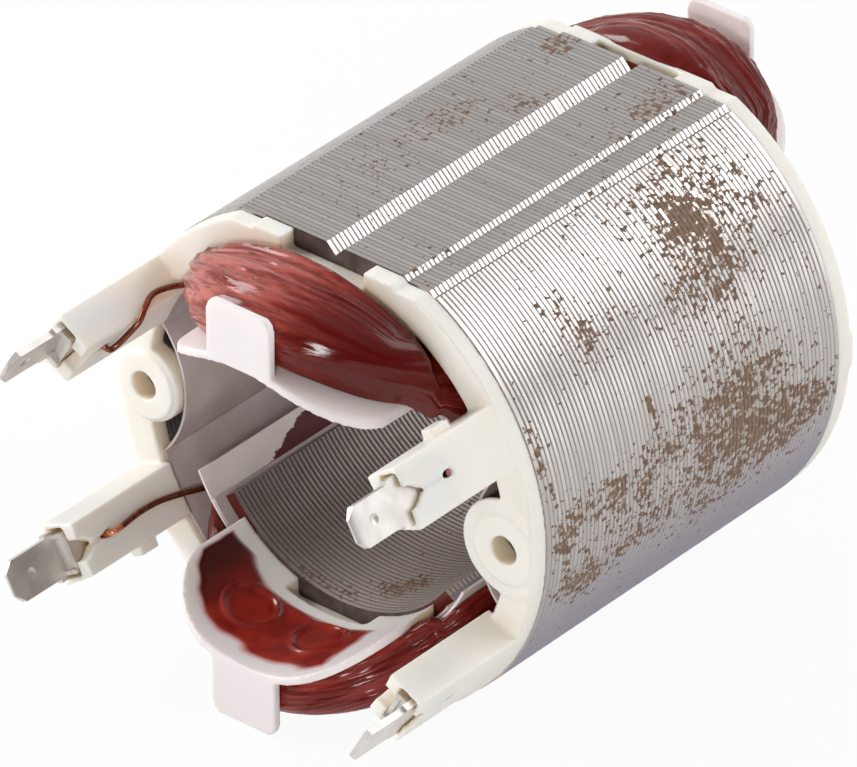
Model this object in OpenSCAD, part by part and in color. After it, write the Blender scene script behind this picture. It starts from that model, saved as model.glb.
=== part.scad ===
// Two-pole field (stator) of a small universal motor, lying on its lower flat.
// The rotor axis runs along Y, one pole is above it and one below, and the tab
// terminals point towards -Y. The origin is on the rotor axis, in the plane of the
// front screw bosses. Left and right are as seen from the terminals.

/* [Lamination stack] */
// Number of punched sheets
sheet_count = 76; // [50:1:110]
// Thickness of one sheet
sheet_t = 0.65; // [0.5:0.05:0.8]
// Outside diameter
core_d = 58.5; // [56:0.5:66]
// How far the raised part of each flat lies below the round
flat_depth = 2.55; // [1.5:0.05:3.2]
// Width of the raised part of each flat
flat_w = 19.2; // [14:0.1:22]
// Drop from the raised part of a flat to its shoulders
flat_step = 0.5; // [0.2:0.05:0.9]
// Width of the V groove along each flat
groove_w = 2.5; // [1:0.1:4]
// Depth of the notch where a flat meets the round
edge_notch = 0.26; // [0.1:0.02:0.5]
// Depth of the section from the outside diameter to the rotor bore
section_depth = 10.75; // [10:0.05:12]
// Angle covered by each pole face
pole_arc = 108; // [100:1:116]
// Thickness of the pole tips
tip_t = 1.5; // [1:0.1:2]
// Width of the pole necks, as a part of the bore's diameter
neck_share = 0.675; // [0.54:0.005:0.7]
// Thickness of the yoke
yoke_t = 4.05; // [3.2:0.05:4.6]

/* [Fixing screws] */
// Diameter of the screw holes
screw_hole_d = 3.4; // [3:0.1:4.5]
// Distance of a hole's centre from the outside diameter
hole_inset = 3.85; // [3.2:0.05:4.6]
// Radius of the bulge round a hole, in the laminations
bulge_r = 4.6; // [4:0.1:5.2]

/* [End insulators] */
// Thickness of the flange on each end of the stack
flange_t = 2.3; // [1.6:0.1:3]
// Step of the flange back from the stack's outside
flange_inset = 0.1; // [0.05:0.05:0.5]
// Height of the screw bosses above the stack
boss_h = 2.8; // [2.4:0.1:4]
// Radius of the screw bosses
boss_r = 4.1; // [3.2:0.1:4.5]
// Lip of the front flange over the right liner, round the boss
right_lip = 1.3; // [0.5:0.1:1.5]
// Thickness of that lip
lip_t = 0.8; // [0.6:0.1:1]
// Width of the gaps in the flange, at the flats and at the poles
gap_w = 11.4; // [6:0.2:14]
// Depth of the flange gap at a flat
gap_depth = 2.2; // [1:0.1:3]
// Wall left behind the rear flange gap
gap_wall = 0.8; // [0.5:0.1:1.2]
// Reach of the pole collars beyond the stack
collar_len = 16; // [12:0.5:18]
// Wall thickness of a pole collar
collar_t = 1; // [0.7:0.1:1.1]
// Corner radius of a collar's rim
collar_round = 9; // [5:0.5:11]
// Width of the coil retaining tabs
tab_w = 8.8; // [6:0.2:12]
// Clearance of the tabs inside the flats
tab_clear = 0.35; // [0.1:0.05:1]
// Corner radius of the tabs
tab_round = 1.3; // [0.5:0.1:2]

/* [Terminal posts] */
// Direction of the posts from the line through the screws
post_angle = 29.3; // [27:0.1:32]
// Width of a post at the outside
post_w = 7.5; // [7:0.1:8.5]
// Depth of a post inwards from the outside
post_depth = 4.95; // [4.6:0.05:5.2]
// Reach of the posts beyond the stack
post_len = 18; // [16:0.5:22]
// Depth of the terminal pockets
pocket_len = 7; // [6:0.2:9]
// Thickness of a pocket's outer wall
pocket_wall = 0.65; // [0.5:0.05:0.9]
// Width of the slits in the pocket walls above the wire
slit_w = 0.4; // [0.3:0.05:0.6]
// Width of the flared mouths of the slits
mouth_w = 2.5; // [1.5:0.1:3]
// Depth of the flared mouths of the slits
mouth_depth = 2.2; // [1.2:0.1:2.6]
// Length of the coding lug on two of the posts
lug_len = 2.8; // [2:0.2:5]
// Height of the coding lug
lug_h = 1.1; // [0.6:0.1:2]
// Distance of the coding lug from the stack
lug_z = 6.9; // [4:0.1:9]

/* [Terminals] */
// Width of the tab blade
blade_w = 4.8; // [4:0.1:5]
// Thickness of the tab blade
blade_t = 0.8; // [0.5:0.1:0.8]
// Length of the blade beyond its shoulders
blade_len = 6.6; // [5:0.2:9]
// Chamfer at the blade's tip
blade_chamfer = 1.1; // [0.6:0.1:1.5]
// Height of the shoulders above the post
shoulder_h = 1.4; // [0.8:0.1:2]
// Sheet thickness of the wire clip
clip_t = 0.5; // [0.4:0.1:0.7]
// Diameter of the detent dimples in the blade
detent_d = 1.3; // [1:0.1:1.8]
// Distance of the detent dimples from the blade's tip
detent_from_tip = 3.1; // [2.4:0.1:4]
// Depth of the detent dimples in the blade
detent_depth = 0.22; // [0.1:0.02:0.24]

/* [Coils, liners and leads] */
// Thickness of the slot liners
liner_t = 0.3; // [0.2:0.05:0.4]
// Radius of the bow in which a liner passes a screw boss
bow_r = 12; // [9:0.5:14]
// Clearance of the bow from the bulge round the screw hole
bow_clear = 0.1; // [0:0.05:1]
// Thickness of the slot covers
cover_t = 0.3; // [0.2:0.05:0.4]
// Clearance of a slot cover's hidden edge from the lined pole neck
cover_clear = 1.2; // [0.6:0.1:3]
// Width of a slot cover beyond the pole tip
cover_reach = 3.9; // [2:0.1:5]
// Overhang of liners and covers beyond the stack
overhang = 1.5; // [1:0.1:1.5]
// Reach of the coil sides from the pole's middle, as a part of the slot's inner radius
coil_share = 0.872; // [0.8:0.002:0.88]
// Width of an end turn's corners on the collar
coil_foot_w = 1.6; // [1:0.1:3]
// Rise of the end turns above the coil sides
coil_rise = 1.8; // [0:0.1:1.9]
// Squareness of the end turns' outside, where 2 is an ellipse
turn_square = 2.2; // [2:0.1:3]
// Clearance of the front end turns behind the tabs
turn_gap = 0.4; // [0.2:0.1:2]
// Clearance of the rear end turns behind the tabs
rear_turn_gap = 1.4; // [0.2:0.1:2]
// Number of wire bundles that show round a coil's section
bundles = 14; // [8:1:16]
// Depth of the grooves between the bundles, as a part of the section
bundle_groove = 0.07; // [0:0.01:0.12]
// Diameter of the enamelled wire
wire_d = 0.7; // [0.5:0.05:0.9]

/* [Fits] */
// Clearance between pieces that lie against each other
fit = 0.1; // [0.05:0.01:0.12]

/* [Hidden] */
$fn = 96;
core_len = sheet_count * sheet_t;
core_r = core_d / 2;
bore_r = core_r - section_depth;
neck_w = neck_share * 2 * bore_r;
flat_y = core_r - flat_depth;
shoulder_y = flat_y - flat_step;
yoke_ri = core_r - yoke_t;
tip_r = bore_r + tip_t;
hole_x = core_r - hole_inset;
collar_r = bore_r + (tip_t - collar_t) * 0.6;
collar_half_w = collar_r * sin(pole_arc / 2 - 8);
liner_c = fit + liner_t;
cover_r = tip_r + liner_c + fit;
coil_ri = cover_r + cover_t + 3 * fit;
coil_ro = yoke_ri - liner_c - 3 * fit;
coil_in_w = neck_w / 2 + liner_c + 5 * fit;
coil_side_w = coil_share * coil_ri - coil_in_w;
turn_depth = 3;
post_ro = core_r - flange_inset - 0.06;
post_ri = core_r - post_depth;
post_arc = post_w / core_r * 180 / PI;
post_edge = post_w / 2;
post_side = (post_ri + 1.6) * tan(post_arc / 2);
pocket_ro = post_ro - pocket_wall;
pocket_ri = pocket_ro - 2.5;
pocket_w = blade_w + 1;
blade_r = pocket_ro - fit - blade_t;
clip_bottom = post_len - pocket_len + fit;
wire_z = post_len - 4.6;
wire_out_z = post_len - pocket_len + wire_d / 2 + fit;
far = core_d;
wire_sides = 10;
wire_steps = 4;
turn_steps = 32;
section_steps = 3 * bundles;

// Routes of the leads, in millimetres: distance from the rotor axis, sideways towards
// the pole, and forwards from the stack. They are chosen along the posts.
lead_end = [[post_ri - 0.6, 0, wire_z - 1], [post_ri - 0.15, 0, wire_z],
            [pocket_ri + 0.4, 0, wire_z - 0.1], [pocket_ro - 0.9, 0, wire_out_z + 0.3],
            [post_ro - 0.2, 0, wire_out_z]];
lead_straight = concat([[post_ri - 1.6, 2.1, -5], [post_ri - 1.1, 1.75, -2.8],
                        [post_ri - 0.65, 1.3, -0.8], [post_ri - 0.5, 0.75, 1.4],
                        [post_ri - 0.5, 0.25, 3.6], [post_ri - 0.5, -0.15, 6],
                        [post_ri - 0.5, -0.25, post_len - 9]], lead_end);
lead_over_edge = concat([[post_ri - 0.9, post_edge + 1, 1.9], [post_ri - 0.1, post_edge + 0.7, 3.2],
                         [post_ri + 0.6, post_edge + 0.45, 4.8],
                         [post_ri + 0.9, post_edge + 0.35, post_len - 11],
                         [post_ri + 0.2, post_edge + 0.3, post_len - 9.2],
                         [post_ri - 0.7, post_edge - 0.55, post_len - 7.6]], lead_end);

steel = [0.62, 0.61, 0.6];
nylon = [0.93, 0.91, 0.86];
lacquer = [0.45, 0.11, 0.09];
paper = [0.69, 0.65, 0.64];
strip = [0.8, 0.77, 0.75];
tin = [0.72, 0.71, 0.7];
copper = [0.42, 0.2, 0.11];

// Turns the drawing frame, with z forwards along the rotor axis and y up, into the part's frame.
module place() {
  rotate([90, 0, 0]) translate([0, 0, -boss_h]) children();
}

// Copies in the four quadrants, or in the upper and lower halves.
module quadrants() {
  for (sx = [0, 1], sy = [0, 1]) mirror([sx, 0, 0]) mirror([0, sy, 0]) children();
}

module up_and_down() {
  for (sy = [0, 1]) mirror([0, sy, 0]) children();
}

// One post's own frame, with x outwards and y towards the pole.
module at_post(left, low) {
  mirror([left ? 1 : 0, 0, 0]) mirror([0, low ? 1 : 0, 0]) rotate(post_angle) children();
}

// Sector of the plane round the direction mid.
module wedge(mid, arc) {
  rotate(mid) polygon([[0, 0], far * [cos(arc / 2), -sin(arc / 2)], [far * 1.5, 0],
                       far * [cos(arc / 2), sin(arc / 2)]]);
}

// Punched shapes

// Outline of the stack, with a stepped flat above and below, set in by an amount.
module outline(inset = 0) {
  y1 = flat_y - inset;
  y0 = shoulder_y - inset;
  w = flat_w / 2;
  difference() {
    circle(core_r - inset);
    up_and_down()
      polygon([[-far, y0], [-w - flat_step, y0], [-w, y1], [w, y1], [w + flat_step, y0], [far, y0],
               [far, far], [-far, far]]);
  }
}

// V groove in the middle of a flat, and notches where the flats meet the round.
module outline_grooves() {
  run = 3.4 * edge_notch;
  notch_at = asin(shoulder_y / core_r) - run / core_r * 180 / PI;
  up_and_down()
    polygon([[0, flat_y - groove_w / 2], [groove_w, flat_y + groove_w / 2],
             [-groove_w, flat_y + groove_w / 2]]);
  quadrants() rotate(notch_at)
    polygon([[core_r - edge_notch, 0], [core_r + edge_notch, 2 * run],
             [core_r + edge_notch, -2 * edge_notch]]);
}

// Space inside the yoke, with the bulges round the screw holes taken off, set in by c.
module inside_yoke(c) {
  difference() {
    circle(yoke_ri - c);
    for (s = [-1, 1]) translate([s * hole_x, 0]) circle(bulge_r + c);
  }
}

// Both poles, neck and tips, grown by c. The bore is cut where it is needed.
module poles(c) {
  tip_arc = pole_arc + 2 * c / tip_r * 180 / PI;
  up_and_down() {
    translate([-neck_w / 2 - c, 0]) square([neck_w + 2 * c, core_r]);
    intersection() {
      circle(tip_r + c);
      wedge(90, tip_arc);
    }
  }
}

// The two gaps between the poles, set in by c.
module slots(c) {
  difference() {
    inside_yoke(c);
    poles(c);
  }
}

module screw_holes() {
  for (s = [-1, 1]) translate([s * hole_x, 0]) circle(d = screw_hole_d);
}

// Lamination stack

module lamination_stack() {
  color(steel) place()
    translate([0, 0, -core_len]) linear_extrude(core_len)
      difference() {
        outline();
        outline_grooves();
        slots(0);
        circle(bore_r);
        screw_holes();
      }
}

// End insulators, drawn with the stack's end at z = 0

// Gap in the flange that leaves the stack bare at a flat and at a pole face.
module flange_gaps(at_flat) {
  up_and_down() {
    if (at_flat) translate([-gap_w / 2, flat_y - gap_depth]) square([gap_w, far]);
    translate([-gap_w / 2, 0]) square([gap_w, tip_r + fit]);
  }
}

// The flange covers the poles only as wide as the collars.
module flange_shape() {
  difference() {
    outline(flange_inset);
    slots(0);
    circle(collar_r);
    screw_holes();
    intersection() {
      circle(tip_r + fit);
      for (s = [0, 1]) mirror([s, 0]) translate([collar_half_w, -far]) square([far, 2 * far]);
    }
  }
}

// Outline of a plate of half width w, from y = 0 up to h, with its two upper corners rounded.
function round_top(w, h, r, n = 10) =
  concat([[-w, 0], [w, 0]],
         [for (i = [0:n]) [w - r + r * cos(90 * i / n), h - r + r * sin(90 * i / n)]],
         [for (i = [0:n]) [r - w - r * sin(90 * i / n), h - r + r * cos(90 * i / n)]]);

// Collar that carries the end turns of one coil: part of a tube with a rounded rim.
module collar() {
  intersection() {
    linear_extrude(collar_len + 1) difference() {
      circle(collar_r + collar_t);
      circle(collar_r);
    }
    rotate([90, 0, 0]) translate([0, 0, -far]) linear_extrude(far)
      polygon(round_top(collar_half_w, collar_len, collar_round));
  }
}

// Tab that keeps the end turns on the collar.
module tab() {
  translate([0, 0, collar_len - collar_t]) linear_extrude(collar_t)
    difference() {
      polygon(round_top(tab_w / 2, flat_y - tab_clear, tab_round, 6));
      circle(collar_r + collar_t / 2);
    }
}

// Flange, bosses, collars and tabs that both ends have.
module end_moulding(at_flat) {
  difference() {
    union() {
      linear_extrude(flange_t) flange_shape();
      linear_extrude(boss_h) intersection() {
        outline(flange_inset);
        for (s = [-1, 1]) translate([s * hole_x, 0]) difference() {
          circle(boss_r);
          circle(d = screw_hole_d);
        }
      }
      up_and_down() collar();
    }
    translate([0, 0, -1]) linear_extrude(flange_t + 1) flange_gaps(at_flat);
  }
  up_and_down() tab();
}

// Way for the wire through a wall of a post: a hole at its level, a slit up to the post's end and
// a flared mouth.
module wire_way(x0, x1, level) {
  w = wire_d / 2 + fit / 2;
  slit = slit_w / 2;
  mouth = mouth_w / 2;
  bottom = level - wire_d / 2 - 2 * fit;
  top = level + wire_d / 2 + 4 * fit;
  translate([x0, 0, 0]) rotate([90, 0, 90]) linear_extrude(x1 - x0)
    polygon([[-w, bottom], [w, bottom], [w, top - w + slit], [slit, top],
             [slit, post_len - mouth_depth], [mouth, post_len - mouth_depth / 3],
             [mouth, post_len + 1], [-mouth, post_len + 1], [-mouth, post_len - mouth_depth / 3],
             [-slit, post_len - mouth_depth], [-slit, top], [-w, top - w + slit]]);
}

// Post for one terminal, with its pocket and the ways in and out for the wire. It starts above
// the liner's end, so that its inner edge can overhang the slot.
module post(left, low, lug) {
  foot = overhang + 2 * fit;
  at_post(left, low) difference() {
    union() {
      translate([0, 0, foot]) linear_extrude(post_len - foot) intersection() {
        difference() {
          circle(post_ro);
          circle(post_ri);
        }
        wedge(0, post_arc);
      }
      if (lug)
        translate([post_ri + 0.8, post_side - 0.8, lug_z]) cube([1.8, lug_h + 0.8, lug_len]);
    }
    translate([pocket_ri, -pocket_w / 2, post_len - pocket_len])
      cube([pocket_ro - pocket_ri, pocket_w, pocket_len + 1]);
    wire_way(post_ri - 1, pocket_ri + 0.5, wire_z);
    wire_way(pocket_ro - 0.5, core_r + 1, wire_out_z);
  }
}

// Lip that covers the right liner's front end where it passes the boss.
module liner_lip() {
  translate([0, 0, overhang + 2 * fit]) linear_extrude(lip_t) intersection() {
    outline(flange_inset);
    translate([hole_x, 0]) difference() {
      circle(bulge_r + right_lip);
      circle(d = screw_hole_d);
    }
  }
}

module front_insulator() {
  color(nylon) place() {
    end_moulding(true);
    liner_lip();
    post(false, false, true);
    post(true, true, true);
    post(true, false, false);
    post(false, true, false);
  }
}

module rear_insulator() {
  color(nylon) place() translate([0, 0, -core_len]) rotate([0, 180, 0])
    difference() {
      end_moulding(false);
      up_and_down() translate([-gap_w / 2, flat_y - gap_depth, -1])
        cube([gap_w, far, flange_t - gap_wall + 1]);
    }
}

// Insulating sheets

// Space inside the liners, set in by c: they follow the slots and bow past the screw bosses.
module lined_space(c) {
  difference() {
    slots(c);
    for (s = [-1, 1]) translate([s * (hole_x - bulge_r - bow_clear + bow_r), 0]) circle(bow_r + c);
  }
}

// One liner follows the yoke, the pole necks and the backs of the pole tips.
module slot_liner(right) {
  color(paper) place() translate([0, 0, -core_len - overhang])
    linear_extrude(core_len + 2 * overhang)
      intersection() {
        difference() {
          lined_space(fit);
          lined_space(liner_c);
          circle(tip_r + fit / 2);
        }
        translate([right ? 0 : -far, -far]) square([far, 2 * far]);
      }
}

// A strip that closes one coil side towards the rotor.
module slot_cover(left, low) {
  tip_at = 90 - pole_arc / 2;
  a0 = tip_at - cover_reach / cover_r * 180 / PI;
  a1 = acos((neck_w / 2 + liner_c + cover_clear) / (cover_r + cover_t));
  color(strip) place() translate([0, 0, -core_len - overhang])
    linear_extrude(core_len + 2 * overhang)
      mirror([left ? 1 : 0, 0]) mirror([0, low ? 1 : 0])
        intersection() {
          difference() {
            circle(cover_r + cover_t);
            circle(cover_r);
          }
          wedge((a0 + a1) / 2, a1 - a0);
        }
}

// Coils

// Point of a rounded box with half sides a and b, at angle t; a larger n is squarer.
function box_point(a, b, n, t) =
  let (k = pow(pow(abs(cos(t)), n) + pow(abs(sin(t)), n), -1 / n)) [a * cos(t) * k, b * sin(t) * k];

function smooth(x) = let (s = min(1, max(0, x))) s * s * (3 - 2 * s);

// Edges of the winding at angle t round the pole, at the level q from bore to yoke:
// [across, along the axis] on the inside and on the outside.
function winding_edges(t, q) =
  let (front = sin(t) >= 0,
       base = front ? -turn_depth : turn_depth - core_len,
       reach = collar_len - collar_t - (front ? turn_gap : rear_turn_gap) + turn_depth,
       i = box_point(coil_in_w, flange_t + 6 * fit + turn_depth, 16, t),
       o = box_point(1, reach, turn_square, t),
       beyond = max(base + o[1], -core_len - base - o[1]),
       foot = coil_foot_w + (coil_side_w - coil_foot_w) * q,
       out_w = coil_in_w + coil_side_w + (foot - coil_side_w) * smooth(beyond / 6))
  [[i[0], base + i[1]], [out_w * o[0], base + o[1]]];

// A coil's surface at angle t round the pole and angle s round its own section. The section is
// square towards the pole and rounded outside; the end turns sink to the collar and rise over the flange.
function coil_point(t, s) =
  let (n = sin(s) > 0 ? (cos(s) < 0 ? 12 : 1.9) : 9,
       p = (1 - bundle_groove * (0.5 + 0.5 * cos(s * bundles))) * box_point(1, 1, n, s),
       q = (p[1] + 1) / 2,
       edges = winding_edges(t, q),
       uz = edges[0] + (edges[1] - edges[0]) * (p[0] + 1) / 2,
       beyond = max(uz[1], -core_len - uz[1]) - flange_t,
       ri = coil_ri - smooth(beyond) * (coil_ri - collar_r - collar_t - 2 * fit),
       ro = coil_ro + smooth((beyond - 6 * fit) / 0.7) * coil_rise,
       r = ri + (ro - ri) * q)
  [uz[0], sqrt(max(1, r * r - uz[0] * uz[0])), uz[1]];

// Skin of a tube of rings, given as a list of points; closed joins the last ring to the first.
module skin(points, rings, sides, closed) {
  last = closed ? rings - 1 : rings - 2;
  walls = [for (i = [0:last], j = [0:sides - 1])
    let (k = (i + 1) % rings, m = (j + 1) % sides,
         a = i * sides + j, b = i * sides + m, c = k * sides + m, d = k * sides + j)
    each [[a, b, c], [a, c, d]]];
  ends = closed ? [] : [[for (j = [sides - 1:-1:0]) j],
                        [for (j = [0:sides - 1]) (rings - 1) * sides + j]];
  polyhedron(points, concat(walls, ends), convexity = 8);
}

module coil(low) {
  angles = concat([for (i = [0:turn_steps]) 180 * i / turn_steps],
                  [for (i = [0:turn_steps]) 180 + 180 * i / turn_steps]);
  points = [for (i = [0:len(angles) - 1], j = [0:section_steps - 1])
    coil_point(i == turn_steps ? 179.99 : i == turn_steps + 1 ? 180.01
               : i == len(angles) - 1 ? 359.99 : max(angles[i], 0.01), -360 * j / section_steps)];
  color(lacquer) place() mirror([0, low ? 1 : 0, 0])
    skin(points, len(angles), section_steps, true);
}

// Terminals

// Tab with a folded clip, drawn in the post's frame.
module terminal(left, low) {
  top = post_len + shoulder_h + blade_len;
  w = blade_w / 2;
  c = blade_chamfer;
  wide = pocket_w / 2 - fit;
  dimple_r = (detent_d * detent_d / 4 + detent_depth * detent_depth) / (2 * detent_depth);
  color(tin) place() at_post(left, low) difference() {
    union() {
      intersection() {
        translate([blade_r, 0, 0]) rotate([90, 0, 90]) linear_extrude(blade_t)
          polygon([[-w, clip_bottom], [w, clip_bottom], [w, post_len - 1.2], [wide, post_len - 1],
                   [wide, post_len + shoulder_h], [w, post_len + shoulder_h], [w, top - c],
                   [w - c, top], [c - w, top], [-w, top - c], [-w, post_len + shoulder_h],
                   [-wide, post_len + shoulder_h], [-wide, post_len - 1], [-w, post_len - 1.2]]);
        translate([blade_r, far / 2, 0]) rotate([90, 0, 0]) linear_extrude(far)
          polygon([[0, 0], [blade_t, 0], [blade_t, top - 0.8], [blade_t * 0.7, top],
                   [blade_t * 0.3, top], [0, top - 0.8]]);
      }
      for (s = [-1, 1])
        translate([pocket_ri + fit, s * (w - clip_t / 2) - clip_t / 2, clip_bottom])
          cube([blade_r - pocket_ri, clip_t, pocket_len + 0.3]);
      translate([pocket_ri + fit, -w, clip_bottom]) cube([clip_t, blade_w, pocket_len - 0.2]);
      translate([pocket_ri + fit, -w, post_len - 2 * clip_t])
        cube([blade_r - pocket_ri, blade_w, clip_t]);
    }
    translate([0, -wire_d / 2 - fit, clip_bottom - 1])
      cube([far, wire_d + 2 * fit, wire_z - clip_bottom + 1 + wire_d / 2 + fit]);
    for (x = [blade_r - dimple_r + detent_depth, blade_r + blade_t + dimple_r - detent_depth])
      translate([x, 0, top - detent_from_tip]) sphere(dimple_r);
  }
}

// Leads

// Points along a smooth curve through the given points.
function curve(p, n) =
  let (last = len(p) - 1)
  concat([for (i = [0:last - 1], k = [0:n - 1])
    let (t = k / n, a = p[max(0, i - 1)], b = p[i], c = p[i + 1], d = p[min(last, i + 2)])
    0.5 * (2 * b + (c - a) * t + (2 * a - 5 * b + 4 * c - d) * t * t
           + (3 * b - a - 3 * c + d) * t * t * t)], [p[last]]);

function unit(v) = v / norm(v);

// Rings of a round wire along a path, kept square to it.
function wire_rings(path, r) =
  [for (i = [0:len(path) - 1], j = [0:wire_sides - 1])
    let (along = unit(path[min(len(path) - 1, i + 1)] - path[max(0, i - 1)]),
         side = unit(cross(along, [0.31, 0.9, 0.29])),
         up = cross(side, along),
         a = 360 * j / wire_sides)
    path[i] + r * (cos(a) * side + sin(a) * up)];

module lead(left, low, route) {
  path = curve(route, wire_steps);
  color(copper) place() at_post(left, low)
    skin(wire_rings(path, wire_d / 2), len(path), wire_sides, false);
}

lamination_stack();
front_insulator();
rear_insulator();
coil(false);  // upper_coil
coil(true);  // lower_coil
slot_liner(false);  // left_slot_liner
slot_liner(true);  // right_slot_liner
slot_cover(true, false);  // upper_left_slot_cover
slot_cover(false, false);  // upper_right_slot_cover
slot_cover(true, true);  // lower_left_slot_cover
slot_cover(false, true);  // lower_right_slot_cover
terminal(true, false);  // upper_left_terminal
terminal(false, false);  // upper_right_terminal
terminal(true, true);  // lower_left_terminal
terminal(false, true);  // lower_right_terminal
lead(true, false, lead_over_edge);  // upper_left_lead
lead(false, false, lead_straight);  // upper_right_lead
lead(true, true, lead_straight);  // lower_left_lead
lead(false, true, lead_over_edge);  // lower_right_lead
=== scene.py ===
"""Looks of a two-pole motor stator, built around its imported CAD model.

Lengths in this script are in millimetres in the part's own frame and become metres where a mesh
is made: +X right, +Y along the rotor axis away from the terminals, +Z up. Only the lamps and the
floor are given in metres.
"""

import math

import bmesh
import bpy
import numpy as np
from mathutils import Matrix, Vector


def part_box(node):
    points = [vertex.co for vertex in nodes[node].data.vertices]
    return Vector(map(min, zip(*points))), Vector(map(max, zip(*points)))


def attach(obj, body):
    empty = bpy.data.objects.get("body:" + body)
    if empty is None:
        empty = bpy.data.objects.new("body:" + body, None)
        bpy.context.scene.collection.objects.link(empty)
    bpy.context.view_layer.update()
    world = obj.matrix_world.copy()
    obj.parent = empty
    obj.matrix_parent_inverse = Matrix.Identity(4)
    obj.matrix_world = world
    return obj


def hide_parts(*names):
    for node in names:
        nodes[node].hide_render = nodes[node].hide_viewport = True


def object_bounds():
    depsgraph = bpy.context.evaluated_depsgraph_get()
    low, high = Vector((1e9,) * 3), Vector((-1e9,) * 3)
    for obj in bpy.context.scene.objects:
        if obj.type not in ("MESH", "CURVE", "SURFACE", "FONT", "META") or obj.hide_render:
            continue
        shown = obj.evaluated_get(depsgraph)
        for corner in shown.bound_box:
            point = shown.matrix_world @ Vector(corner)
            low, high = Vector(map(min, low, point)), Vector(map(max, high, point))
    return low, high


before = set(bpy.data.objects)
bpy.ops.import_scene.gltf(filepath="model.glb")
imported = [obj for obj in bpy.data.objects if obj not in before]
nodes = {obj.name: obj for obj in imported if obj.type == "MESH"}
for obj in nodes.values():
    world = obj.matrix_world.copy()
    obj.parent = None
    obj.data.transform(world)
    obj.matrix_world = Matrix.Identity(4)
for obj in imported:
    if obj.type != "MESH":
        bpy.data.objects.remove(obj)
cad_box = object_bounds()

MM = 0.001
CORNERS = [(v, h) for v in ("upper", "lower") for h in ("left", "right")]

# Sizes that the CAD boxes don't give, as the part's source has them: the sheets' shape, liners,
# covers and clearances, the insulators' flange and collars, the coils' turns and the leads
SHEETS = 76
BORE_R = 18.5
SECTION_DEPTH = 10.75
YOKE_T = 4.05
TIP_T = 1.5
NECK_SHARE = 0.675
LINER_C = 0.4
COVER_T = 0.3
FIT = 0.1
FLANGE_T = 2.3
COLLAR_LEN = 16.0
COLLAR_T = 1.0
COLLAR_SHARE = 0.6
COLLAR_HALF_W = 13.5
COLLAR_ROUND = 9.0
COIL_SHARE = 0.872
COIL_FOOT_W = 1.6
FRONT_TURN_GAP = 0.4
REAR_TURN_GAP = 1.4
TURN_DEPTH = 3.0
TURN_SQUARE = 2.2
WIRE_LEVEL = 13.4


def box_mm(node):
    """Lowest and highest corner of a CAD node, in millimetres."""
    low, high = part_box(node)
    return np.array(low) / MM, np.array(high) / MM


stack_low, stack_high = box_mm("lamination_stack")
FRONT_Y = float(stack_low[1])
CORE_LEN = float(stack_high[1] - stack_low[1])
CORE_R = BORE_R + SECTION_DEPTH
YOKE_R = CORE_R - YOKE_T
SHEET_T = CORE_LEN / SHEETS
COLLAR_R = BORE_R + (TIP_T - COLLAR_T) * COLLAR_SHARE


def add_object(name, data):
    """A new object in the scene."""
    item = bpy.data.objects.new(name, data)
    bpy.context.scene.collection.objects.link(item)
    return item


# Camera, as fitted to the photograph
IMAGE_W = 857
FOCAL_PX = 11702.3
FILM_W = 36.0
CLIP_NEAR = 0.05
CLIP_FAR = 20.0
CAMERA_AT = Vector((689.97, -792.86, 681.76)) * MM
CAMERA_RIGHT = Vector((0.76375, 0.64549, -0.0054))
CAMERA_BACK = Vector((0.546245, -0.641821, 0.538221))


def make_camera():
    data = bpy.data.cameras.new("camera")
    data.sensor_width = FILM_W
    data.sensor_fit = "HORIZONTAL"
    data.lens = FOCAL_PX / IMAGE_W * FILM_W
    data.clip_start = CLIP_NEAR
    data.clip_end = CLIP_FAR
    camera = add_object("camera", data)
    back = CAMERA_BACK.normalized()
    right = (CAMERA_RIGHT - back * CAMERA_RIGHT.dot(back)).normalized()
    up = back.cross(right)
    turn = Matrix((right, up, back)).transposed().to_4x4()
    camera.matrix_world = Matrix.Translation(CAMERA_AT) @ turn
    bpy.context.scene.camera = camera


# Materials

# Range that holds most values of a noise texture
NOISE_RANGE = (0.3, 0.7)
# Sockets of a Mix node that hold colours
MIX_A = 6
MIX_B = 7
MIX_RESULT = 2
CORNER_SAMPLES = 6


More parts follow.
